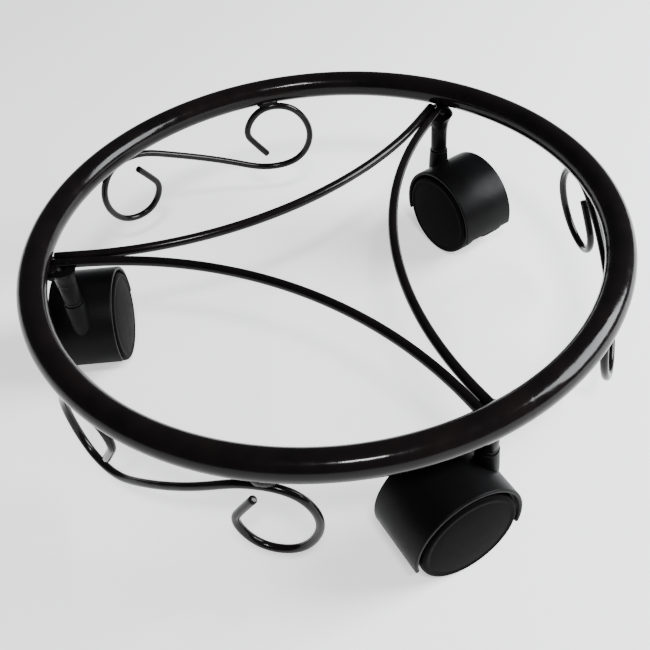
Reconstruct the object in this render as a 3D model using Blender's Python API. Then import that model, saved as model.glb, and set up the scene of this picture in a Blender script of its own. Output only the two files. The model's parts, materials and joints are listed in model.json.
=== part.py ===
"""Rolling plant pot caddy: a round bent-tube ring on three hooded twin-wheel
casters, with three bowed rods across its inside and three wire scrolls below.

The frame has its origin on the floor under the ring's centre, +Z up.
Lengths are in millimetres until a mesh is made, and angles in degrees.
"""

import math

import bmesh
import bpy
import numpy as np
from mathutils import Matrix, Vector

MM = 0.001

# Ring: 9/16 in tube bent to a 300 mm outside diameter.
RING_RADIUS = 142.85
RING_Z = 88.5
TUBE_RADIUS = 7.15
TUBE_BORE_RADIUS = 5.95
SEAM_DEG = -60.0
SEAM_THICKNESS = 2.0
SEAM_PROUD = 0.15

# Rods: 5 mm bar, each an arc that turns straight where it meets its neighbour.
ROD_RADIUS = 2.5
ROD_Z = 80.85
ROD_PAIR_OFFSET = 2.78
ROD_BEND_RADIUS = 209.8
ROD_END_RADIUS = 137.5
STATION_DEG = (-63.38, 56.62, 176.62)

# Scrolls: 3.5 mm wire, an S bent along the ring's underside. Half of it, from
# its centre out: along the ring and up.
WIRE_RADIUS = 2.0
SCROLL_CENTRE_Z = 54.4
SCROLL_BEND = 0.00284
SCROLL_PROFILE = (
    (22.5, 13.8),
    (40.1, 22.5),
    (56.9, 20.9),
    (66.0, 5.9),
    (64.3, -10.6),
    (54.8, -22.8),
    (41.3, -24.2),
    (33.9, -18.0),
    (31.2, -5.4),
    (32.8, -2.0),
    (40.8, 11.5),
)
# Each scroll as bent and welded: middle angle, turn about the vertical, lean,
# roll, rise, distance from the ring's axis, size.
SCROLL_POSES = {
    "back_left": (118.5, 9.61, -9.82, -3.3, 0.48, 145.5, 0.99),
    "front_left": (236.83, -0.59, 1.98, -1.88, -2.23, 141.23, 1.01),
    "right": (356.71, 3.55, -8.51, 1.52, -1.71, 144.9, 0.99),
}

# Sleeves: 3/8 in tube with a bore for a 5/16 in grip stem.
SLEEVE_RADIUS = 4.75
SLEEVE_BORE_RADIUS = 4.15
SLEEVE_TOP_Z = 78.0
SLEEVE_BOTTOM_Z = 58.3
STEM_RING_RADIUS = 132.9

# Caster stem.
GRIP_STEM_RADIUS = 3.95
GRIP_STEM_TOP_Z = 77.4
GROOVE_RADIUS = 3.0
GROOVE_Z = 71.5
GROOVE_HEIGHT = 2.4
COLLAR_TOP_Z = 58.0
COLLAR_THICKNESS = 1.4
JOURNAL_RADIUS = 3.2
JOURNAL_BOTTOM_Z = 21.4
CLIP_RADIUS = 5.2
CLIP_THICKNESS = 1.0
CLIP_TOP_Z = 24.3

# Caster: 50 mm twin wheels under a 34 mm wide hood.
WHEEL_RADIUS = 25.0
AXLE_Z = 25.0
TRAIL = 19.6
HOOD_RADIUS = 28.3
HOOD_WALL = 2.0
HOOD_HALF_WIDTH = 17.0
HOOD_START_DEG = -10.0
HOOD_END_DEG = 198.0
WEB_HALF = 3.4
NECK_TOP_Z = 56.3
NECK_RADIUS = 5.2
NECK_BASE_RADIUS = 5.9
SOCKET_BOTTOM_Z = 25.6
SOCKET_BORE_RADIUS = 3.3
AXLE_RADIUS = 2.5
AXLE_BORE_RADIUS = 2.58
AXLE_HALF_LENGTH = 14.5
BOSS_RADIUS = 7.0
BOSS_HALF = 6.3
WHEEL_INNER = 6.5
WHEEL_TREAD_END = 16.2
HUB_RADIUS = 6.0
HUB_FACE = 6.7
DISC_INNER = 14.9
RIM_INNER_RADIUS = 22.6

# Each caster as it stands: stem angle on the ring, heading of its axle.
CASTERS = {
    "front": (-63.0, 114.9),
    "back": (54.6, -149.7),
    "left": (178.9, -1.2),
}

GAP = 0.3
RING_STEPS = 60
TUBE_SIDES = 12
BORE_SIDES = 8
ROD_SIDES = 10
WIRE_SIDES = 8
WHEEL_STEPS = 28

Z_AXIS = Vector((0, 0, 1))


def polar(radius, degrees, z=0.0):
    """A point at this radius and angle about the ring's axis."""
    angle = math.radians(degrees)
    return Vector((radius * math.cos(angle), radius * math.sin(angle), z))


def material(name, colour, metallic, roughness):
    mat = bpy.data.materials.new(name)
    mat.use_nodes = True
    shader = mat.node_tree.nodes["Principled BSDF"]
    shader.inputs["Base Color"].default_value = (*colour, 1)
    shader.inputs["Metallic"].default_value = metallic
    shader.inputs["Roughness"].default_value = roughness
    mat.diffuse_color = (*colour, 1)
    return mat


def mesh_object(name, verts, faces, mat=None, origin=(0, 0, 0), smooth=True):
    """An object from millimetre points, with its origin where it is asked for."""
    start = Vector(origin)
    mesh = bpy.data.meshes.new(name)
    mesh.from_pydata([(Vector(v) - start) * MM for v in verts], [], faces)
    bm = bmesh.new()
    bm.from_mesh(mesh)
    bmesh.ops.recalc_face_normals(bm, faces=bm.faces)
    bm.to_mesh(mesh)
    bm.free()
    obj = bpy.data.objects.new(name, mesh)
    obj.location = start * MM
    bpy.context.scene.collection.objects.link(obj)
    if mat:
        mesh.materials.append(mat)
    if smooth:
        mesh.shade_smooth()
        mesh.set_sharp_from_angle(angle=math.radians(35))
    return obj


def sweep(path, radius, sides):
    """A round bar along a path of points, with flat ends."""
    points = [Vector(p) for p in path]
    last = len(points) - 1
    tangents = []
    for i in range(last + 1):
        step = points[min(i + 1, last)] - points[max(i - 1, 0)]
        tangents.append(step.normalized())
    side = tangents[0].cross(Z_AXIS)
    if side.length < 0.01:
        side = tangents[0].cross(Vector((1, 0, 0)))
    side.normalize()
    verts = []
    for point, tangent in zip(points, tangents):
        side = (side - tangent * side.dot(tangent)).normalized()
        up = side.cross(tangent)
        for k in range(sides):
            angle = math.tau * (k + 0.5) / sides
            verts.append(point + radius * (math.cos(angle) * side + math.sin(angle) * up))
    faces = []
    for i in range(last):
        for k in range(sides):
            a = i * sides + k
            b = i * sides + (k + 1) % sides
            faces.append((a, b, b + sides, a + sides))
    faces.append(tuple(range(sides)))
    faces.append(tuple(last * sides + k for k in range(sides)))
    return verts, faces


def lathe(profile, steps, frame=Matrix(), start=0.0, sweep_deg=360.0):
    """A closed profile of (radius, height) turned about the frame's Z axis."""
    full = sweep_deg >= 360
    rows = steps if full else steps + 1
    verts = []
    index = []
    for r, h in profile:
        if r == 0:
            index.append([len(verts)] * rows)
            verts.append(Vector((0, 0, h)))
            continue
        row = []
        for i in range(rows):
            angle = math.radians(start + sweep_deg * i / steps)
            row.append(len(verts))
            verts.append(Vector((r * math.cos(angle), r * math.sin(angle), h)))
        index.append(row)
    faces = []
    count = len(profile)
    for j in range(count):
        row = index[j]
        after = index[(j + 1) % count]
        for i in range(steps):
            n = (i + 1) % rows
            loop = [row[i], row[n], after[n], after[i]]
            corners = []
            for corner in loop:
                if corner not in corners:
                    corners.append(corner)
            if len(corners) > 2:
                faces.append(tuple(corners))
    if not full:
        faces.append(tuple(row[0] for row in index))
        faces.append(tuple(row[-1] for row in index))
    return [frame @ v for v in verts], faces


def baked(obj):
    """The object with its modifiers applied."""
    bpy.context.view_layer.update()
    graph = bpy.context.evaluated_depsgraph_get()
    mesh = bpy.data.meshes.new_from_object(obj.evaluated_get(graph))
    mesh.name = obj.name
    obj.modifiers.clear()
    obj.data = mesh
    return obj


def combine(obj, others, operation):
    """Joins the others to the object, or cuts them from it, and drops them."""
    for other in others:
        step = obj.modifiers.new(operation.lower(), "BOOLEAN")
        step.operation = operation
        step.solver = "EXACT"
        step.object = other
        baked(obj)
        bpy.data.objects.remove(other)
    mesh = obj.data
    mesh.shade_smooth()
    mesh.set_sharp_from_angle(angle=math.radians(35))
    return obj


def largest_piece(obj):
    """Keeps the biggest connected piece of the mesh."""
    bm = bmesh.new()
    bm.from_mesh(obj.data)
    bmesh.ops.remove_doubles(bm, verts=bm.verts, dist=1e-7)
    left = set(bm.verts)
    pieces = []
    while left:
        stack = [left.pop()]
        piece = set(stack)
        while stack:
            for edge in stack.pop().link_edges:
                for vert in edge.verts:
                    if vert in left:
                        left.remove(vert)
                        piece.add(vert)
                        stack.append(vert)
        pieces.append(piece)
    pieces.sort(key=len)
    drop = [v for piece in pieces[:-1] for v in piece]
    bmesh.ops.delete(bm, geom=drop, context="VERTS")
    bm.to_mesh(obj.data)
    bm.free()
    return obj


def ring_point(degrees, turn, radius):
    """A point on a tube of this radius about the ring's centreline."""
    out = polar(1, degrees)
    angle = math.radians(turn)
    middle = polar(RING_RADIUS, degrees, RING_Z)
    return middle + radius * (math.cos(angle) * out + math.sin(angle) * Z_AXIS)


def nearest_on_ring(point):
    """The point of the ring's centreline beside this point."""
    return Vector((point.x, point.y, 0)).normalized() * RING_RADIUS + Z_AXIS * RING_Z


def ring_arc(start, end, steps, outer, inner=None):
    """An arc of the ring's tube, solid or with a bore."""
    verts = []
    faces = []
    shells = [(outer, TUBE_SIDES)]
    if inner:
        shells.append((inner, BORE_SIDES))
    ends = []
    for radius, sides in shells:
        base = len(verts)
        for i in range(steps + 1):
            degrees = start + (end - start) * i / steps
            for k in range(sides):
                verts.append(ring_point(degrees, 360 * k / sides, radius))
        for i in range(steps):
            for k in range(sides):
                a = base + i * sides + k
                b = base + i * sides + (k + 1) % sides
                quad = (a, b, b + sides, a + sides)
                faces.append(quad if radius == outer else quad[::-1])
        ends.append([[base + k for k in range(sides)],
                     [base + steps * sides + k for k in range(sides)]])
    if not inner:
        return verts, faces + [tuple(ends[0][0]), tuple(ends[0][1])]
    for end_index in (0, 1):
        faces += annulus(ends[0][end_index], ends[1][end_index], end_index == 1)
    return verts, faces


def annulus(outer, inner, flip):
    """Faces between two loops of points that start at the same angle."""
    faces = []
    many = len(outer)
    few = len(inner)
    j = 0
    for i in range(many):
        reach = (i + 1) * few / many
        tip = inner[j % few]
        if j + 1 <= reach + 1e-9:
            faces.append((outer[i], outer[(i + 1) % many], inner[(j + 1) % few], tip))
            j += 1
        else:
            faces.append((outer[i], outer[(i + 1) % many], tip))
    return [face[::-1] for face in faces] if flip else faces


def rod_path(mid_deg, end_radius=ROD_END_RADIUS):
    """A rod's centreline: straight beside its neighbour, then one long arc."""
    centre_distance = (ROD_BEND_RADIUS + ROD_PAIR_OFFSET) / math.sin(math.radians(60))
    centre = polar(centre_distance, mid_deg)
    steps = 24
    points = []
    for i in range(steps + 1):
        turn = 30 * (2 * i / steps - 1)
        points.append(centre + polar(ROD_BEND_RADIUS, mid_deg + 180 - turn))
    tips = []
    for side in (-1, 1):
        out = polar(1, mid_deg + side * 60)
        across = Vector((out.y, -out.x, 0)) * side
        tips.append(out * end_radius + across * ROD_PAIR_OFFSET)
    return [Vector((p.x, p.y, ROD_Z)) for p in (tips[0], *points, tips[1])]


def spline(points, per_span):
    """A natural cubic through the points, by the distances between them."""
    pts = np.array([tuple(p) for p in points])
    count = len(pts)
    h = np.linalg.norm(np.diff(pts, axis=0), axis=1)
    slopes = np.diff(pts, axis=0) / h[:, None]
    system = np.eye(count)
    right = np.zeros_like(pts)
    for i in range(1, count - 1):
        system[i, i - 1:i + 2] = h[i - 1], 2 * (h[i - 1] + h[i]), h[i]
        right[i] = 6 * (slopes[i] - slopes[i - 1])
    second = np.linalg.solve(system, right)
    out = []
    for i in range(count - 1):
        for k in range(per_span + (i == count - 2)):
            t = h[i] * k / per_span
            lead = slopes[i] - h[i] * (2 * second[i] + second[i + 1]) / 6
            curve = (second[i + 1] - second[i]) / (6 * h[i])
            out.append(Vector(pts[i] + lead * t + second[i] / 2 * t ** 2 + curve * t ** 3))
    return out


def scroll_path(pose):
    """An S scroll's centreline, bent along the ring and set as it was welded."""
    mid_deg, yaw, lean, roll, rise, distance, size = pose
    half = [Vector(p) * size for p in SCROLL_PROFILE]
    whole = [-p for p in reversed(half)] + [Vector((0, 0))] + half
    out = polar(1, mid_deg)
    along = Vector((-out.y, out.x, 0))
    turn = Matrix.Rotation(math.radians(roll), 2)
    path = []
    for point in spline(whole, 3):
        s, height = turn @ point
        radius = distance - SCROLL_BEND * s * s
        radius += s * math.tan(math.radians(yaw)) + height * math.tan(math.radians(lean))
        path.append(out * radius + along * s + Z_AXIS * (SCROLL_CENTRE_Z + rise + height))
    return path


def ellipsoid(centre, axes, radii, steps=14, rows=8):
    """A blob with the given axes and radii."""
    verts = [Vector((0, 0, 1))]
    for j in range(1, rows):
        tilt = math.pi * j / rows
        for i in range(steps):
            angle = math.tau * i / steps
            verts.append(Vector((math.sin(tilt) * math.cos(angle),
                                 math.sin(tilt) * math.sin(angle), math.cos(tilt))))
    verts.append(Vector((0, 0, -1)))
    faces = []
    bottom = len(verts) - 1
    for i in range(steps):
        n = (i + 1) % steps
        faces.append((0, 1 + i, 1 + n))
        for j in range(rows - 2):
            a = 1 + j * steps
            faces.append((a + i, a + steps + i, a + steps + n, a + n))
        a = 1 + (rows - 2) * steps
        faces.append((a + i, bottom, a + n))
    placed = []
    for v in verts:
        point = Vector(centre)
        for axis, radius, part in zip(axes, radii, v):
            point += axis * radius * part
        placed.append(point)
    return placed, faces


def weld(name, centre, axes, radii, keep_clear, mat):
    """A bead cut back to stand just clear of the pieces it joins."""
    obj = mesh_object(name, *ellipsoid(centre, axes, radii), mat)
    cutters = [mesh_object("cutter", *shape) for shape in keep_clear]
    return largest_piece(combine(obj, cutters, "DIFFERENCE"))


def caster_frame(stem_deg, heading):
    """Axle along X, trail along +Y, stem axis through the origin."""
    stem = polar(STEM_RING_RADIUS, stem_deg)
    return Matrix.Translation(stem) @ Matrix.Rotation(math.radians(heading), 4, "Z")


def build_ring():
    steel = material("ring_paint", (0.012, 0.011, 0.011), 0.0, 0.22)
    half_seam = math.degrees((SEAM_THICKNESS / 2 + GAP) / RING_RADIUS)
    start = SEAM_DEG + half_seam
    end = SEAM_DEG + 360 - half_seam
    mesh_object("ring_tube", *ring_arc(start, end, RING_STEPS, TUBE_RADIUS, TUBE_BORE_RADIUS),
                steel)
    seam = math.degrees(SEAM_THICKNESS / 2 / RING_RADIUS)
    shape = ring_arc(SEAM_DEG - seam, SEAM_DEG + seam, 1, TUBE_RADIUS + SEAM_PROUD,
                     TUBE_BORE_RADIUS)
    mesh_object("ring_seam_weld", *shape, material("seam_paint", (0.016, 0.013, 0.012), 0.0, 0.3))


def build_rods():
    names = ("rod_right", "rod_back_left", "rod_front_left")
    for name, start in zip(names, STATION_DEG):
        mat = material(name + "_paint", (0.012, 0.011, 0.011), 0.0, 0.25)
        mesh_object(name, *sweep(rod_path(start + 60), ROD_RADIUS, ROD_SIDES), mat)


def build_scrolls():
    for name, pose in SCROLL_POSES.items():
        mat = material(f"scroll_{name}_paint", (0.014, 0.013, 0.013), 0.0, 0.25)
        path = scroll_path(pose)
        mesh_object(f"scroll_{name}", *sweep(path, WIRE_RADIUS, WIRE_SIDES), mat)
        middle = len(path) // 2
        for side, part in (("first", path[:middle]), ("second", path[middle:])):
            touch = min(part, key=lambda p: (p - nearest_on_ring(p)).length)
            axis_point = nearest_on_ring(touch)
            down = (touch - axis_point).normalized()
            gap = (touch - axis_point).length - TUBE_RADIUS - WIRE_RADIUS
            centre = axis_point + down * (TUBE_RADIUS + gap / 2)
            along = Z_AXIS.cross(axis_point).normalized()
            degrees = math.degrees(math.atan2(touch.y, touch.x))
            clear = (
                ring_arc(degrees - 6, degrees + 6, 4, TUBE_RADIUS + GAP),
                sweep(path, WIRE_RADIUS + GAP, WIRE_SIDES),
            )
            paint = material(f"weld_{name}_{side}_paint", (0.014, 0.013, 0.013), 0.0, 0.35)
            weld(f"scroll_weld_{name}_{side}", centre, (along, down.cross(along), down),
                 (4.4, 2.9, gap / 2 + 2.0), clear, paint)


def stem_tube(radius, top, bottom, frame, steps=16):
    profile = ((0, bottom), (radius, bottom), (radius, top), (0, top))
    return lathe(profile, steps, frame)


def build_station(name, stem_deg, rod_deg, frame):
    stem = frame.translation
    profile = (
        (SLEEVE_BORE_RADIUS, SLEEVE_BOTTOM_Z),
        (SLEEVE_RADIUS, SLEEVE_BOTTOM_Z),
        (SLEEVE_RADIUS, SLEEVE_TOP_Z),
        (SLEEVE_BORE_RADIUS, SLEEVE_TOP_Z),
    )
    mesh_object(f"sleeve_{name}", *lathe(profile, 20, frame),
                material(f"sleeve_{name}_paint", (0.014, 0.013, 0.013), 0.0, 0.3))
    middle = (stem_deg + rod_deg) / 2
    out = polar(1, middle)
    along = Vector((-out.y, out.x, 0))
    rods = [rod_path(rod_deg + turn, ROD_END_RADIUS + GAP) for turn in (-60, 60)]
    near = [[p for p in path if (p.xy - stem.xy).length < 60] for path in rods]
    clear = [sweep(path, ROD_RADIUS + GAP, ROD_SIDES) for path in near]
    clear.append(ring_arc(middle - 9, middle + 9, 6, TUBE_RADIUS + GAP))
    clear.append(stem_tube(SLEEVE_RADIUS + GAP, SLEEVE_TOP_Z + GAP, SLEEVE_BOTTOM_Z, frame, 20))
    weld(f"station_weld_{name}", out * 138.2 + Z_AXIS * (RING_Z - 10.4), (along, out, Z_AXIS),
         (8.6, 6.4, 5.4), clear,
         material(f"station_weld_{name}_paint", (0.016, 0.014, 0.013), 0.0, 0.35))


def build_stem(name, frame):
    steel = material(f"stem_{name}_steel", (0.03, 0.03, 0.032), 1.0, 0.4)
    top = GRIP_STEM_TOP_Z
    groove_top = GROOVE_Z + GROOVE_HEIGHT / 2
    groove_bottom = GROOVE_Z - GROOVE_HEIGHT / 2
    collar_bottom = COLLAR_TOP_Z - COLLAR_THICKNESS
    profile = (
        (0, JOURNAL_BOTTOM_Z),
        (JOURNAL_RADIUS, JOURNAL_BOTTOM_Z),
        (JOURNAL_RADIUS, collar_bottom),
        (SLEEVE_RADIUS, collar_bottom),
        (SLEEVE_RADIUS, COLLAR_TOP_Z),
        (GRIP_STEM_RADIUS, COLLAR_TOP_Z),
        (GRIP_STEM_RADIUS, groove_bottom),
        (GROOVE_RADIUS, groove_bottom),
        (GROOVE_RADIUS, groove_top),
        (GRIP_STEM_RADIUS, groove_top),
        (GRIP_STEM_RADIUS, top - 1),
        (GRIP_STEM_RADIUS - 1, top),
        (0, top),
    )
    mesh_object(f"stem_{name}", *lathe(profile, 16, frame), steel)
    half = GROOVE_HEIGHT / 2 - GAP
    ring = (
        (GROOVE_RADIUS + 0.2, GROOVE_Z - half),
        (GRIP_STEM_RADIUS + 0.1, GROOVE_Z - half),
        (GRIP_STEM_RADIUS + 0.1, GROOVE_Z + half),
        (GROOVE_RADIUS + 0.2, GROOVE_Z + half),
    )
    mesh_object(f"grip_ring_{name}", *lathe(ring, 14, frame, 20, 320),
                material(f"grip_ring_{name}_steel", (0.35, 0.35, 0.37), 1.0, 0.3))
    clip = (
        (JOURNAL_RADIUS + 0.1, CLIP_TOP_Z - CLIP_THICKNESS),
        (CLIP_RADIUS, CLIP_TOP_Z - CLIP_THICKNESS),
        (CLIP_RADIUS, CLIP_TOP_Z),
        (JOURNAL_RADIUS + 0.1, CLIP_TOP_Z),
    )
    mesh_object(f"push_nut_{name}", *lathe(clip, 16, frame),
                material(f"push_nut_{name}_steel", (0.5, 0.5, 0.52), 1.0, 0.3))


def axle_matrix(frame):
    """The frame whose Z runs along the axle, with its X towards the trail."""
    return frame @ Matrix.Translation((0, TRAIL, AXLE_Z)) @ Matrix(
        ((0, 0, 1, 0), (1, 0, 0, 0), (0, 1, 0, 0), (0, 0, 0, 1))
    )


def hood_shell(axle):
    soft = 1.1
    outer = HOOD_RADIUS
    inner = HOOD_RADIUS - HOOD_WALL
    end = HOOD_HALF_WIDTH
    profile = (
        (inner, -end),
        (outer - soft, -end),
        (outer - soft * 0.3, -end + soft * 0.3),
        (outer, -end + soft),
        (outer, end - soft),
        (outer - soft * 0.3, end - soft * 0.3),
        (outer - soft, end),
        (inner, end),
    )
    return lathe(profile, 24, axle, HOOD_START_DEG, HOOD_END_DEG - HOOD_START_DEG)


def web_plate(axle):
    """The plate between the wheels, from the hood's roof down round the axle."""
    edge = HOOD_RADIUS - HOOD_WALL / 2
    outline = []
    steps = 18
    for i in range(steps + 1):
        outline.append(polar(edge, -7 + (177 + 7) * i / steps))
    outline.append(Vector((-14, 1.4, 0)))
    outline.append(Vector((-6.4, -5.2, 0)))
    outline.append(Vector((0, -8.4, 0)))
    outline.append(Vector((6.4, -6.2, 0)))
    count = len(outline)
    verts = [axle @ (p + Vector((0, 0, side * WEB_HALF))) for side in (-1, 1) for p in outline]
    faces = [tuple(range(count)), tuple(range(2 * count - 1, count - 1, -1))]
    for i in range(count):
        n = (i + 1) % count
        faces.append((i, n, count + n, count + i))
    return verts, faces


def build_hood(name, frame):
    plastic = material(f"hood_{name}_plastic", (0.014, 0.014, 0.014), 0.0, 0.42)
    axle = axle_matrix(frame)
    stem = frame.translation.copy()
    stem.z = AXLE_Z
    hood = mesh_object(f"hood_{name}", *hood_shell(axle), plastic, stem)
    neck = (
        (0, SOCKET_BOTTOM_Z),
        (NECK_BASE_RADIUS, SOCKET_BOTTOM_Z),
        (NECK_BASE_RADIUS, 45.0),
        (NECK_RADIUS, NECK_TOP_Z - 0.6),
        (NECK_RADIUS - 0.5, NECK_TOP_Z),
        (0, NECK_TOP_Z),
    )
    boss = ((0, -BOSS_HALF), (BOSS_RADIUS, -BOSS_HALF), (BOSS_RADIUS, BOSS_HALF), (0, BOSS_HALF))
    web = mesh_object("web", *web_plate(axle))
    combine(hood, [
        web,
        mesh_object("neck", *lathe(neck, 20, frame)),
        mesh_object("boss", *lathe(boss, 20, axle)),
    ], "UNION")
    bore = ((0, -9), (AXLE_BORE_RADIUS, -9), (AXLE_BORE_RADIUS, 9), (0, 9))
    combine(hood, [
        mesh_object("bore", *lathe(bore, 16, axle)),
        mesh_object("socket", *stem_tube(SOCKET_BORE_RADIUS, NECK_TOP_Z + 2, SOCKET_BOTTOM_Z - 2,
                                         frame)),
    ], "DIFFERENCE")


def build_axle(name, frame):
    reach = AXLE_HALF_LENGTH
    profile = (
        (0, -reach),
        (AXLE_RADIUS - 0.5, -reach),
        (AXLE_RADIUS, -reach + 0.5),
        (AXLE_RADIUS, reach - 0.5),
        (AXLE_RADIUS - 0.5, reach),
        (0, reach),
    )
    axle = axle_matrix(frame)
    mesh_object(f"axle_{name}", *lathe(profile, 16, axle),
                material(f"axle_{name}_steel", (0.45, 0.45, 0.46), 1.0, 0.3), axle.translation)


def build_wheel(name, side, frame):
    tread = WHEEL_RADIUS
    profile = (
        (AXLE_BORE_RADIUS, HUB_FACE),
        (HUB_RADIUS, HUB_FACE),
        (HUB_RADIUS, DISC_INNER),
        (RIM_INNER_RADIUS, DISC_INNER),
        (RIM_INNER_RADIUS, WHEEL_INNER),
        (tread - 0.6, WHEEL_INNER),
        (tread, WHEEL_INNER + 0.6),
        (tread, WHEEL_TREAD_END),
        (tread - 0.5, WHEEL_TREAD_END + 0.9),
        (tread - 1.8, WHEEL_TREAD_END + 1.4),
        (tread - 3.0, WHEEL_TREAD_END + 1.1),
        (12.0, WHEEL_TREAD_END + 1.8),
        (0, WHEEL_TREAD_END + 2.0),
        (0, AXLE_HALF_LENGTH + GAP),
        (AXLE_BORE_RADIUS, AXLE_HALF_LENGTH + GAP),
    )
    sign = 1 if side == "a" else -1
    axle = axle_matrix(frame)
    turned = [(r, sign * h) for r, h in profile]
    mat = material(f"wheel_{name}_{side}_plastic", (0.02, 0.018, 0.017), 0.0, 0.38)
    mesh_object(f"wheel_{name}_{side}", *lathe(turned, WHEEL_STEPS, axle, -90), mat,
                axle.translation)


def main():
    for obj in list(bpy.data.objects):
        bpy.data.objects.remove(obj)
    build_ring()
    build_rods()
    build_scrolls()
    for (name, (stem_deg, heading)), rod_deg in zip(CASTERS.items(), STATION_DEG):
        frame = caster_frame(stem_deg, heading)
        build_station(name, stem_deg, rod_deg, frame)
        build_stem(name, frame)
        build_hood(name, frame)
        build_axle(name, frame)
        for side in ("a", "b"):
            build_wheel(name, side, frame)


main()
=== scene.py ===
"""The looks of the rolling plant pot caddy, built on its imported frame.

Shapes are worked out in millimetres, in the frame's own axes, and made in metres.
"""

import json
import math

import bmesh
import bpy
import numpy as np
from mathutils import Matrix, Vector, noise as field

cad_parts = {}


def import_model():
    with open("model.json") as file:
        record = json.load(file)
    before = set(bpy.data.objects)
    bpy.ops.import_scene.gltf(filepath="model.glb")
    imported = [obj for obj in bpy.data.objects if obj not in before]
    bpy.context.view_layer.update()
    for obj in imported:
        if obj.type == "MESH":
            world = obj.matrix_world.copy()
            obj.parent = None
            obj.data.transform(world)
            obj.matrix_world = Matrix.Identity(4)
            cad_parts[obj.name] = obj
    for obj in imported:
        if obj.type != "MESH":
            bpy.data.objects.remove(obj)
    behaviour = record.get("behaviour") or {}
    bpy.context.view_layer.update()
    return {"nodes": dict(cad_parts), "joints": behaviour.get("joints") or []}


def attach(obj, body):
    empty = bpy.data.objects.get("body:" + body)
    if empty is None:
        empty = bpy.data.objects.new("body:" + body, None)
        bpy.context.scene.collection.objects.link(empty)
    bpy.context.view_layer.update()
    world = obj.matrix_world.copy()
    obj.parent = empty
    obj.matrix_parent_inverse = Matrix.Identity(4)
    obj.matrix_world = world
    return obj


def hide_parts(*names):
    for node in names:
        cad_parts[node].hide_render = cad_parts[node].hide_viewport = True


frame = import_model()

MM = 0.001
NODES = frame["nodes"]
JOINTS = {j["name"]: j for j in frame["joints"]}
STATIONS = {"front": -63.38, "back": 56.62, "left": 176.62}
Z_AXIS = Vector((0, 0, 1))

# Sizes in millimetres, within 0.2 mm of the CAD's. The ring and its rods.
RING_RADIUS = 142.85
RING_Z = 88.5
TUBE_RADIUS = 7.15
SEAM_DEG = -60.0
ROD_RADIUS = 2.5
ROD_Z = 80.85
ROD_PAIR_OFFSET = 2.78
ROD_BEND_RADIUS = 209.8
ROD_END_RADIUS = 137.5

# The scrolls: half the S, along the ring and up, and how each is set: middle angle, yaw, lean,
# roll, rise, distance from the ring's axis and size.
WIRE_RADIUS = 2.0
SCROLL_CENTRE_Z = 54.4
SCROLL_BEND = 0.00284
SCROLL_PROFILE = (
    (22.5, 13.8),
    (40.1, 22.5),
    (56.9, 20.9),
    (66.0, 5.9),
    (64.3, -10.6),
    (54.8, -22.8),
    (41.3, -24.2),
    (33.9, -18.0),
    (31.2, -5.4),
    (32.8, -2.0),
    (40.8, 11.5),
)
SCROLL_POSES = {
    "back_left": (118.5, 9.61, -9.82, -3.3, 0.48, 145.5, 0.99),
    "front_left": (236.83, -0.59, 1.98, -1.88, -2.23, 141.23, 1.01),
    "right": (356.71, 3.55, -8.51, 1.52, -1.71, 144.9, 0.99),
}

# The sleeves and the stems in them.
SLEEVE_RADIUS = 4.75
SLEEVE_BORE_RADIUS = 4.15
SLEEVE_BOTTOM_Z = 58.3
SLEEVE_TOP_Z = 78.0
GRIP_STEM_RADIUS = 3.95
GRIP_STEM_TOP_Z = 77.4
GROOVE_RADIUS = 3.0
GROOVE_BOTTOM_Z = 70.3
GROOVE_TOP_Z = 72.7
COLLAR_BOTTOM_Z = 56.6
COLLAR_TOP_Z = 58.0
JOURNAL_RADIUS = 3.2
JOURNAL_BOTTOM_Z = 21.4
CLIP_RADIUS = 5.2
CLIP_BOTTOM_Z = 23.3
CLIP_TOP_Z = 24.3

# The casters, with heights along the axle counted from the hood's middle.
HOOD_RADIUS = 28.3
HOOD_INNER_RADIUS = 26.3
HOOD_HALF_WIDTH = 17.0
WEB_HALF = 3.4
SOCKET_BORE_RADIUS = 3.3
SOCKET_BOTTOM_Z = 25.6
NECK_BASE_RADIUS = 5.9
NECK_BASE_TOP_Z = 45.0
NECK_TOP_RADIUS = 5.3
NECK_SHOULDER_Z = 55.5
NECK_TOP_Z = 56.3
AXLE_RADIUS = 2.5
AXLE_BORE_RADIUS = 2.58
AXLE_HALF_LENGTH = 14.5
BOSS_RADIUS = 7.0
BOSS_HALF = 6.3
WHEEL_RADIUS = 25.0
WHEEL_INNER = 6.5
HUB_RADIUS = 6.0
HUB_FACE = 6.7
DISC_INNER = 14.9
RIM_INNER_RADIUS = 22.6


def polar(radius, degrees, z=0.0):
    angle = math.radians(degrees)
    return Vector((radius * math.cos(angle), radius * math.sin(angle), z))


# Materials: procedural nodes on a Principled shader.

def tree_of(name):
    mat = bpy.data.materials.new(name)
    mat.use_nodes = True
    tree = mat.node_tree
    return mat, tree, tree.nodes["Principled BSDF"]


def noise(tree, scale, detail=3.0, stretch=(1, 1, 1)):
    """A noise texture in the object's own space, in cycles per metre."""
    place = tree.nodes.new("ShaderNodeTexCoord")
    mapping = tree.nodes.new("ShaderNodeMapping")
    mapping.inputs["Scale"].default_value = stretch
    tree.links.new(place.outputs["Object"], mapping.inputs["Vector"])
    tex = tree.nodes.new("ShaderNodeTexNoise")
    tex.inputs["Scale"].default_value = scale
    tex.inputs["Detail"].default_value = detail
    tree.links.new(mapping.outputs["Vector"], tex.inputs["Vector"])
    return tex.outputs["Fac"]


def remap(tree, value, low, high):
    node = tree.nodes.new("ShaderNodeMapRange")
    node.inputs["From Min"].default_value = 0.3
    node.inputs["From Max"].default_value = 0.7
    node.inputs["To Min"].default_value = low
    node.inputs["To Max"].default_value = high
    tree.links.new(value, node.inputs["Value"])
    return node.outputs["Result"]


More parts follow.
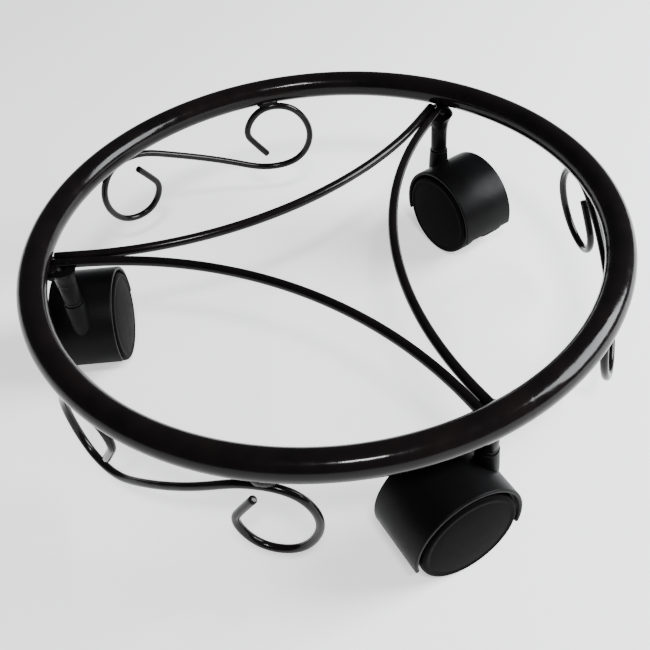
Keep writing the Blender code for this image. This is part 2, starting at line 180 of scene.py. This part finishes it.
def blend_colour(tree, factor, first, second):
    ramp = tree.nodes.new("ShaderNodeValToRGB")
    ramp.color_ramp.elements[0].position = 0.35
    ramp.color_ramp.elements[1].position = 0.68
    ramp.color_ramp.elements[0].color = (*first, 1)
    ramp.color_ramp.elements[1].color = (*second, 1)
    tree.links.new(factor, ramp.inputs["Fac"])
    return ramp.outputs["Color"]


def bump(tree, height, strength, distance, below=None):
    node = tree.nodes.new("ShaderNodeBump")
    node.inputs["Strength"].default_value = strength
    node.inputs["Distance"].default_value = distance
    tree.links.new(height, node.inputs["Height"])
    if below is not None:
        tree.links.new(below, node.inputs["Normal"])
    return node.outputs["Normal"]


def enamel(name, dark, warm, rough, lumps, sheen=0.16):
    """Black brushed-on gloss enamel: pooled, slightly lumpy, a little warm."""
    mat, tree, shader = tree_of(name)
    shader.inputs["Specular IOR Level"].default_value = sheen
    tree.links.new(blend_colour(tree, noise(tree, 60), dark, warm), shader.inputs["Base Color"])
    tree.links.new(remap(tree, noise(tree, 140), *rough), shader.inputs["Roughness"])
    low = bump(tree, noise(tree, 120, 1.0), lumps, 0.0008)
    fine = bump(tree, noise(tree, 1100, 2.0), lumps * 0.6, 0.0001, low)
    tree.links.new(fine, shader.inputs["Normal"])
    return mat


def plastic(name, dark, light, rough, grain, sheen):
    """Moulded black plastic with a fine grain."""
    mat, tree, shader = tree_of(name)
    shader.inputs["Specular IOR Level"].default_value = sheen
    tree.links.new(blend_colour(tree, noise(tree, 45), dark, light), shader.inputs["Base Color"])
    tree.links.new(remap(tree, noise(tree, 220), *rough), shader.inputs["Roughness"])
    tree.links.new(bump(tree, noise(tree, 2600, 2.0), grain, 0.0001), shader.inputs["Normal"])
    return mat


def steel(name, tint, rough):
    """Turned steel, plated or blackened."""
    mat, tree, shader = tree_of(name)
    shader.inputs["Metallic"].default_value = 1.0
    bright = tuple(c * 1.2 for c in tint)
    tree.links.new(blend_colour(tree, noise(tree, 300), tint, bright),
                   shader.inputs["Base Color"])
    turned = noise(tree, 900, 2.0, (0.3, 0.3, 4))
    tree.links.new(remap(tree, turned, *rough), shader.inputs["Roughness"])
    tree.links.new(bump(tree, turned, 0.1, 0.0001), shader.inputs["Normal"])
    return mat


RING_PAINT = enamel("ring_enamel", (0.0032, 0.0027, 0.0029), (0.0056, 0.0041, 0.0041),
                    (0.1, 0.2), 0.16)
WIRE_PAINT = enamel("wire_enamel", (0.0032, 0.0027, 0.0029), (0.005, 0.0038, 0.0038),
                    (0.12, 0.22), 0.16)
WELD_PAINT = enamel("weld_enamel", (0.0034, 0.0028, 0.0029), (0.0052, 0.004, 0.004),
                    (0.26, 0.38), 0.3, 0.1)
SLEEVE_PAINT = enamel("sleeve_enamel", (0.0022, 0.0019, 0.002), (0.0034, 0.0027, 0.0027),
                      (0.3, 0.42), 0.16, 0.05)
HOOD_PLASTIC = plastic("hood_moulded", (0.0026, 0.0026, 0.0028), (0.0034, 0.0034, 0.0036),
                       (0.36, 0.42), 0.1, 0.06)
WHEEL_PLASTIC = plastic("wheel_moulded", (0.0024, 0.002, 0.0021), (0.0028, 0.0023, 0.0024),
                        (0.46, 0.5), 0.08, 0.01)
BLACK_STEEL = steel("blackened_steel", (0.012, 0.012, 0.013), (0.35, 0.5))
ZINC = steel("zinc_steel", (0.5, 0.5, 0.51), (0.25, 0.42))


# Mesh making.

def piece(name, shapes, mat, body, node, crease=40, lumps=0.0):
    """One visible piece from (verts, faces) shapes, standing for its CAD node."""
    verts = []
    faces = []
    for shape_verts, shape_faces in shapes:
        base = len(verts)
        verts += shape_verts
        faces += [tuple(i + base for i in face) for face in shape_faces]
    mesh = bpy.data.meshes.new(name)
    mesh.from_pydata([Vector(v) * MM for v in verts], [], faces)
    bm = bmesh.new()
    bm.from_mesh(mesh)
    bmesh.ops.recalc_face_normals(bm, faces=bm.faces)
    if lumps:
        bm.normal_update()
        for v in bm.verts:
            v.co += v.normal * lumps * MM * field.noise(v.co * 420)
    bm.to_mesh(mesh)
    bm.free()
    mesh.shade_smooth()
    mesh.set_sharp_from_angle(angle=math.radians(crease))
    mesh.materials.append(mat)
    obj = bpy.data.objects.new(name, mesh)
    bpy.context.scene.collection.objects.link(obj)
    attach(obj, body)
    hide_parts(node)
    return obj


def sweep(path, radius, sides, round_ends=0.5):
    """A round bar along points, its cut ends slightly rounded over."""
    points = [Vector(p) for p in path]
    radii = [radius] * len(points)
    first = (points[0] - points[1]).normalized()
    final = (points[-1] - points[-2]).normalized()
    head = points[0] = points[0] - first * round_ends
    tail = points[-1] = points[-1] - final * round_ends
    for reach, shrink in ((0.7, 0.3), (1.0, 1.0)):
        points.insert(0, head + first * round_ends * reach)
        points.append(tail + final * round_ends * reach)
        radii.insert(0, radius - round_ends * shrink)
        radii.append(radius - round_ends * shrink)
    last = len(points) - 1
    tangents = [(points[min(i + 1, last)] - points[max(i - 1, 0)]).normalized()
                for i in range(last + 1)]
    side = tangents[0].cross(Z_AXIS)
    if side.length < 0.01:
        side = tangents[0].cross(Vector((1, 0, 0)))
    verts = []
    for point, tangent, r in zip(points, tangents, radii):
        side = (side - tangent * side.dot(tangent)).normalized()
        up = side.cross(tangent)
        for k in range(sides):
            angle = math.tau * k / sides
            verts.append(point + r * (math.cos(angle) * side + math.sin(angle) * up))
    faces = [tuple(range(sides)), tuple(last * sides + k for k in range(sides))]
    for i in range(last):
        for k in range(sides):
            a = i * sides + k
            b = i * sides + (k + 1) % sides
            faces.append((a, b, b + sides, a + sides))
    return verts, faces


def lathe(profile, steps, place=Matrix(), start=0.0, turn=360.0):
    """A closed (radius, height) profile turned about the Z axis of place."""
    full = turn >= 360
    rows = steps if full else steps + 1
    verts = []
    index = []
    for r, h in profile:
        if r == 0:
            index.append([len(verts)] * rows)
            verts.append(Vector((0, 0, h)))
            continue
        row = []
        for i in range(rows):
            angle = math.radians(start + turn * i / steps)
            row.append(len(verts))
            verts.append(Vector((r * math.cos(angle), r * math.sin(angle), h)))
        index.append(row)
    faces = []
    for j, row in enumerate(index):
        after = index[(j + 1) % len(index)]
        for i in range(steps):
            n = (i + 1) % rows
            corners = list(dict.fromkeys((row[i], row[n], after[n], after[i])))
            if len(corners) > 2:
                faces.append(tuple(corners))
    if not full:
        faces.append(tuple(row[0] for row in index))
        faces.append(tuple(row[-1] for row in index))
    return [place @ v for v in verts], faces


def rounded(profile, radius, steps=4):
    """The profile with each of its corners off the axis rounded."""
    out = []
    count = len(profile)
    for i, corner in enumerate(profile):
        if corner[0] == 0:
            out.append(corner)
            continue
        here = Vector(corner)
        before = Vector(profile[i - 1]) - here
        after = Vector(profile[(i + 1) % count]) - here
        cut = min(radius, before.length * 0.45, after.length * 0.45)
        a = here + before.normalized() * cut
        b = here + after.normalized() * cut
        for k in range(steps + 1):
            t = k / steps
            p = a * (1 - t) ** 2 + here * 2 * t * (1 - t) + b * t ** 2
            out.append((p.x, p.y))
    return out


def spline(points, per_span):
    """A natural cubic through the points, by the distances between them."""
    pts = np.array([tuple(p) for p in points])
    count = len(pts)
    h = np.linalg.norm(np.diff(pts, axis=0), axis=1)
    slopes = np.diff(pts, axis=0) / h[:, None]
    system = np.eye(count)
    right = np.zeros_like(pts)
    for i in range(1, count - 1):
        system[i, i - 1:i + 2] = h[i - 1], 2 * (h[i - 1] + h[i]), h[i]
        right[i] = 6 * (slopes[i] - slopes[i - 1])
    second = np.linalg.solve(system, right)
    out = []
    for i in range(count - 1):
        for k in range(per_span + (i == count - 2)):
            t = h[i] * k / per_span
            lead = slopes[i] - h[i] * (2 * second[i] + second[i + 1]) / 6
            curve = (second[i + 1] - second[i]) / (6 * h[i])
            out.append(Vector(pts[i] + lead * t + second[i] / 2 * t ** 2 + curve * t ** 3))
    return out


def scroll_path(pose):
    mid_deg, yaw, lean, roll, rise, distance, size = pose
    half = [Vector(p) * size for p in SCROLL_PROFILE]
    whole = [-p for p in reversed(half)] + [Vector((0, 0))] + half
    out = polar(1, mid_deg)
    along = Vector((-out.y, out.x, 0))
    turn = Matrix.Rotation(math.radians(roll), 2)
    path = []
    for point in spline(whole, 8):
        s, height = turn @ point
        radius = distance - SCROLL_BEND * s * s
        radius += s * math.tan(math.radians(yaw)) + height * math.tan(math.radians(lean))
        path.append(out * radius + along * s + Z_AXIS * (SCROLL_CENTRE_Z + rise + height))
    return path


def rod_path(mid_deg):
    centre = polar((ROD_BEND_RADIUS + ROD_PAIR_OFFSET) / math.sin(math.radians(60)), mid_deg)
    steps = 90
    points = []
    for i in range(steps + 1):
        turn = 30 * (2 * i / steps - 1)
        points.append(centre + polar(ROD_BEND_RADIUS, mid_deg + 180 - turn))
    tips = []
    for side in (-1, 1):
        out = polar(1, mid_deg + side * 60)
        across = Vector((out.y, -out.x, 0)) * side
        tips.append(out * ROD_END_RADIUS + across * ROD_PAIR_OFFSET)
    return [Vector((p.x, p.y, ROD_Z)) for p in (tips[0], *points, tips[1])]


def blob(centre, axes, radii, steps=32, rows=20):
    """A weld bead: a rounded lump with the given axes and radii."""
    verts = [Vector((0, 0, 1))]
    for j in range(1, rows):
        tilt = math.pi * j / rows
        for i in range(steps):
            angle = math.tau * i / steps
            verts.append(Vector((math.sin(tilt) * math.cos(angle),
                                 math.sin(tilt) * math.sin(angle), math.cos(tilt))))
    verts.append(Vector((0, 0, -1)))
    faces = []
    bottom = len(verts) - 1
    for i in range(steps):
        n = (i + 1) % steps
        faces.append((0, 1 + i, 1 + n))
        for j in range(rows - 2):
            a = 1 + j * steps
            faces.append((a + i, a + steps + i, a + steps + n, a + n))
        a = 1 + (rows - 2) * steps
        faces.append((a + i, bottom, a + n))
    placed = []
    for v in verts:
        placed.append(Vector(centre) + sum((axis * radius * part for axis, radius, part
                                            in zip(axes, radii, v)), Vector()))
    return placed, faces


def nearest_on_ring(point):
    return Vector((point.x, point.y, 0)).normalized() * RING_RADIUS + Z_AXIS * RING_Z


# The welded frame.

def ring_surface(start, end, steps, sides, proud):
    """The tube's outside along an arc; proud gives its extra radius along it."""
    verts = []
    for i in range(steps):
        t = i / steps
        degrees = start + (end - start) * t
        out = polar(1, degrees)
        middle = out * RING_RADIUS + Z_AXIS * RING_Z
        for k in range(sides):
            angle = math.tau * k / sides
            radius = TUBE_RADIUS + proud(t, angle)
            verts.append(middle + radius * (math.cos(angle) * out + math.sin(angle) * Z_AXIS))
    return verts


def build_ring():
    steps, sides = 300, 36
    verts = ring_surface(0, 360, steps, sides, lambda t, angle: 0.0)
    faces = []
    for i in range(steps):
        for k in range(sides):
            j = (i + 1) % steps
            n = (k + 1) % sides
            faces.append((i * sides + k, j * sides + k, j * sides + n, i * sides + n))
    piece("ring", [(verts, faces)], RING_PAINT, "frame", "ring_tube")


def build_seam():
    """A dressed weld bead round the tube, proud by a hair in its middle."""
    steps, sides = 12, 36
    def proud(t, angle):
        ripple = 0.7 + 0.3 * math.sin(5 * angle + 1.3)
        return 0.07 * math.sin(math.pi * t) * ripple - 0.02
    verts = ring_surface(SEAM_DEG - 0.9, SEAM_DEG + 0.9, steps, sides, proud)
    faces = [tuple(range(sides)), tuple((steps - 1) * sides + k for k in range(sides))]
    for i in range(steps - 1):
        for k in range(sides):
            n = (k + 1) % sides
            faces.append((i * sides + k, (i + 1) * sides + k, (i + 1) * sides + n,
                          i * sides + n))
    piece("ring_seam", [(verts, faces)], RING_PAINT, "frame", "ring_seam_weld")


def build_rods():
    names = ("rod_right", "rod_back_left", "rod_front_left")
    for name, start in zip(names, STATIONS.values()):
        bar = sweep(rod_path(start + 60), ROD_RADIUS, 20)
        piece(name + "_bar", [bar], WIRE_PAINT, "frame", name)


def build_scrolls():
    for name, pose in SCROLL_POSES.items():
        path = scroll_path(pose)
        piece(f"scroll_{name}_wire", [sweep(path, WIRE_RADIUS, 16, 0.25)], WIRE_PAINT, "frame",
              f"scroll_{name}")
        middle = len(path) // 2
        for side, part in (("first", path[:middle]), ("second", path[middle:])):
            touch = min(part, key=lambda p: (p - nearest_on_ring(p)).length)
            axis_point = nearest_on_ring(touch)
            down = (touch - axis_point).normalized()
            gap = (touch - axis_point).length - TUBE_RADIUS - WIRE_RADIUS
            along = Z_AXIS.cross(axis_point).normalized()
            centre = axis_point + down * (TUBE_RADIUS + gap / 2)
            bead = blob(centre, (along, down.cross(along), down), (6.4, 2.7, gap / 2 + 1.9))
            piece(f"bead_{name}_{side}", [bead], WELD_PAINT, "frame",
                  f"scroll_weld_{name}_{side}", 60, 0.35)


def build_station(name, stem):
    wall = (
        (SLEEVE_BORE_RADIUS, SLEEVE_BOTTOM_Z), (SLEEVE_RADIUS, SLEEVE_BOTTOM_Z),
        (SLEEVE_RADIUS, SLEEVE_TOP_Z), (SLEEVE_BORE_RADIUS, SLEEVE_TOP_Z),
    )
    tube = rounded(wall, 0.2, 2)
    place = Matrix.Translation((stem.x, stem.y, 0))
    piece(f"sleeve_{name}_tube", [lathe(tube, 48, place)], SLEEVE_PAINT, "frame",
          f"sleeve_{name}")
    stem_deg = math.degrees(math.atan2(stem.y, stem.x))
    turn = (STATIONS[name] - stem_deg + 180) % 360 - 180
    middle = stem_deg + turn / 2
    out = polar(1, middle)
    along = Vector((-out.y, out.x, 0))
    fill = blob(out * 138.2 + Z_AXIS * (RING_Z - 10.6), (along, out, Z_AXIS), (8.2, 6.2, 4.4))
    flare = [(4.3, 69.0)] + [(4.8 + 2.6 * (i / 8) ** 2.2, 69.5 + 10.3 * i / 8) for i in range(9)]
    skirt = lathe(flare + [(3.0, 80.6)], 48, Matrix.Translation((stem.x, stem.y, 0)))
    piece(f"station_{name}_fillet", [fill, skirt], SLEEVE_PAINT, "frame",
          f"station_weld_{name}", 60, 0.5)


def build_stem(name, stem):
    profile = (
        (0, JOURNAL_BOTTOM_Z), (JOURNAL_RADIUS, JOURNAL_BOTTOM_Z),
        (JOURNAL_RADIUS, COLLAR_BOTTOM_Z), (SLEEVE_RADIUS, COLLAR_BOTTOM_Z),
        (SLEEVE_RADIUS, COLLAR_TOP_Z), (GRIP_STEM_RADIUS, COLLAR_TOP_Z),
        (GRIP_STEM_RADIUS, GROOVE_BOTTOM_Z), (GROOVE_RADIUS, GROOVE_BOTTOM_Z),
        (GROOVE_RADIUS, GROOVE_TOP_Z), (GRIP_STEM_RADIUS, GROOVE_TOP_Z),
        (GRIP_STEM_RADIUS, GRIP_STEM_TOP_Z - 1), (GRIP_STEM_RADIUS - 1, GRIP_STEM_TOP_Z),
        (0, GRIP_STEM_TOP_Z),
    )
    place = Matrix.Translation((stem.x, stem.y, 0))
    piece(f"stem_{name}_pin", [lathe(rounded(profile, 0.3, 2), 40, place)], BLACK_STEEL, "frame",
          f"stem_{name}")
    nut = (
        (SOCKET_BORE_RADIUS, CLIP_BOTTOM_Z), (CLIP_RADIUS, CLIP_BOTTOM_Z),
        (CLIP_RADIUS, CLIP_TOP_Z - 0.3), (CLIP_RADIUS - 0.8, CLIP_TOP_Z),
        (SOCKET_BORE_RADIUS, CLIP_TOP_Z),
    )
    piece(f"push_nut_{name}_cap", [lathe(rounded(nut, 0.15, 2), 40, place)], ZINC, "frame",
          f"push_nut_{name}")


# The casters.

def hood_shapes(axle, stem):
    """The half drum, the web between the wheels, the neck and the axle's boss."""
    end = HOOD_HALF_WIDTH
    rim = ((HOOD_INNER_RADIUS, -end), (HOOD_RADIUS, -end), (HOOD_RADIUS, end),
           (HOOD_INNER_RADIUS, end))
    shell = lathe(rounded(rim, 0.9, 5), 104, axle, -10, 208)
    web_radius = (HOOD_RADIUS + HOOD_INNER_RADIUS) / 2
    outline = [polar(web_radius, -7 + 184 * i / 60) for i in range(61)]
    outline += [Vector((-14, 1.4, 0)), Vector((-6.4, -5.2, 0)), Vector((0, -8.4, 0)),
                Vector((6.4, -6.2, 0))]
    count = len(outline)
    verts = [axle @ (p + Vector((0, 0, side * WEB_HALF))) for side in (-1, 1) for p in outline]
    faces = [tuple(range(count)), tuple(range(2 * count - 1, count - 1, -1))]
    for i in range(count):
        n = (i + 1) % count
        faces.append((i, n, count + n, count + i))
    place = Matrix.Translation((stem.x, stem.y, 0))
    neck = (
        (SOCKET_BORE_RADIUS, SOCKET_BOTTOM_Z), (NECK_BASE_RADIUS, SOCKET_BOTTOM_Z),
        (NECK_BASE_RADIUS, NECK_BASE_TOP_Z), (NECK_TOP_RADIUS, NECK_SHOULDER_Z),
        (NECK_TOP_RADIUS, NECK_TOP_Z), (SOCKET_BORE_RADIUS, NECK_TOP_Z),
    )
    boss = ((AXLE_BORE_RADIUS, -BOSS_HALF), (BOSS_RADIUS, -BOSS_HALF), (BOSS_RADIUS, BOSS_HALF),
            (AXLE_BORE_RADIUS, BOSS_HALF))
    return [shell, (verts, faces), lathe(rounded(neck, 0.5, 4), 56, place),
            lathe(rounded(boss, 0.3, 3), 48, axle)]


def wheel_shape(axle, sign):
    """A dished wheel: hub and disc inside, tread, rounded shoulder, groove, crowned face."""
    profile = [
        (AXLE_BORE_RADIUS, HUB_FACE), (HUB_RADIUS, HUB_FACE), (HUB_RADIUS, DISC_INNER),
        (RIM_INNER_RADIUS, DISC_INNER), (RIM_INNER_RADIUS, WHEEL_INNER),
        (WHEEL_RADIUS - 0.6, WHEEL_INNER), (WHEEL_RADIUS, WHEEL_INNER + 0.6),
        (WHEEL_RADIUS, 15.4), (24.7, 16.6), (23.9, 17.4), (22.9, 17.65), (22.1, 17.5),
        (21.2, 17.35), (20.0, 17.5), (17.0, 17.75), (12.0, 18.0), (6.0, 18.15), (0, 18.2),
        (0, DISC_INNER - 0.1), (AXLE_BORE_RADIUS, DISC_INNER - 0.1),
    ]
    turned = [(r, sign * h) for r, h in rounded(profile, 0.35, 2)]
    return lathe(turned, 96, axle, -90)


def build_caster(name):
    swivel = JOINTS[f"swivel_{name}"]
    spin = JOINTS[f"spin_{name}_a"]
    stem = Vector(swivel["pos_m"]) / MM
    hub = Vector(spin["pos_m"]) / MM
    across = Vector(spin["axis"]).normalized()
    trail = Z_AXIS.cross(across)
    axle = Matrix((trail, Z_AXIS, across)).transposed().to_4x4()
    axle.translation = hub
    body = f"caster_{name}"
    build_station(name, stem)
    build_stem(name, stem)
    piece(f"hood_{name}_cover", hood_shapes(axle, stem), HOOD_PLASTIC, body, f"hood_{name}",
          35)
    pin = ((0, -AXLE_HALF_LENGTH), (AXLE_RADIUS, -AXLE_HALF_LENGTH),
           (AXLE_RADIUS, AXLE_HALF_LENGTH), (0, AXLE_HALF_LENGTH))
    piece(f"axle_{name}_pin", [lathe(rounded(pin, 0.5, 3), 32, axle)], ZINC, body,
          f"axle_{name}")
    for side, sign in (("a", 1), ("b", -1)):
        piece(f"wheel_{name}_{side}_tread", [wheel_shape(axle, sign)], WHEEL_PLASTIC,
              f"wheel_{name}_{side}", f"wheel_{name}_{side}", 35)
    ring = NODES[f"grip_ring_{name}"]
    ring.data.materials.clear()
    ring.data.materials.append(ZINC)


# Stage, light and camera.

def stage():
    mesh = bpy.data.meshes.new("floor")
    reach = 6.0
    corners = [(-reach, -reach, 0), (reach, -reach, 0), (reach, reach, 0), (-reach, reach, 0)]
    mesh.from_pydata(corners, [], [(0, 1, 2, 3)])
    floor = bpy.data.objects.new("floor", mesh)
    bpy.context.scene.collection.objects.link(floor)
    mat, tree, shader = tree_of("floor_paper")
    shader.inputs["Base Color"].default_value = (0.92, 0.92, 0.92, 1)
    shader.inputs["Roughness"].default_value = 0.95
    shader.inputs["Emission Color"].default_value = (1, 1, 1, 1)
    shader.inputs["Emission Strength"].default_value = 0.8
    mesh.materials.append(mat)


def softbox(name, place, size, power, colour=(1, 1, 1)):
    light = bpy.data.lights.new(name, "AREA")
    light.shape = "RECTANGLE"
    light.size, light.size_y = size
    light.energy = power
    light.color = colour
    obj = bpy.data.objects.new(name, light)
    obj.location = place
    aim = Vector((0, 0, 0.06)) - Vector(place)
    obj.rotation_euler = aim.to_track_quat("-Z", "Y").to_euler()
    bpy.context.scene.collection.objects.link(obj)


def world():
    studio = bpy.data.worlds.new("studio")
    studio.use_nodes = True
    sky = studio.node_tree.nodes["Background"]
    sky.inputs["Color"].default_value = (0.85, 0.87, 0.95, 1)
    sky.inputs["Strength"].default_value = 0.12
    bpy.context.scene.world = studio


def camera():
    lens = bpy.data.cameras.new("camera")
    lens.lens = 48.85
    lens.sensor_width = 36.0
    lens.clip_start = 0.01
    obj = bpy.data.objects.new("camera", lens)
    right = Vector((0.99454, -0.07315, -0.07444))
    up = Vector((0.10436, 0.69706, 0.70938))
    turn = Matrix((right, up, right.cross(up))).transposed().to_4x4()
    obj.matrix_world = Matrix.Translation((-0.00324, -0.3455, 0.3623)) @ turn
    bpy.context.scene.collection.objects.link(obj)
    bpy.context.scene.camera = obj


build_ring()
build_seam()
build_rods()
build_scrolls()
for station in STATIONS:
    build_caster(station)
stage()
world()
camera()
softbox("window", (1.1, 0.0, 0.72), (0.75, 0.7), 44, (0.96, 0.98, 1))
softbox("lamp", (0.08, -0.75, 1.2), (0.22, 0.12), 13)
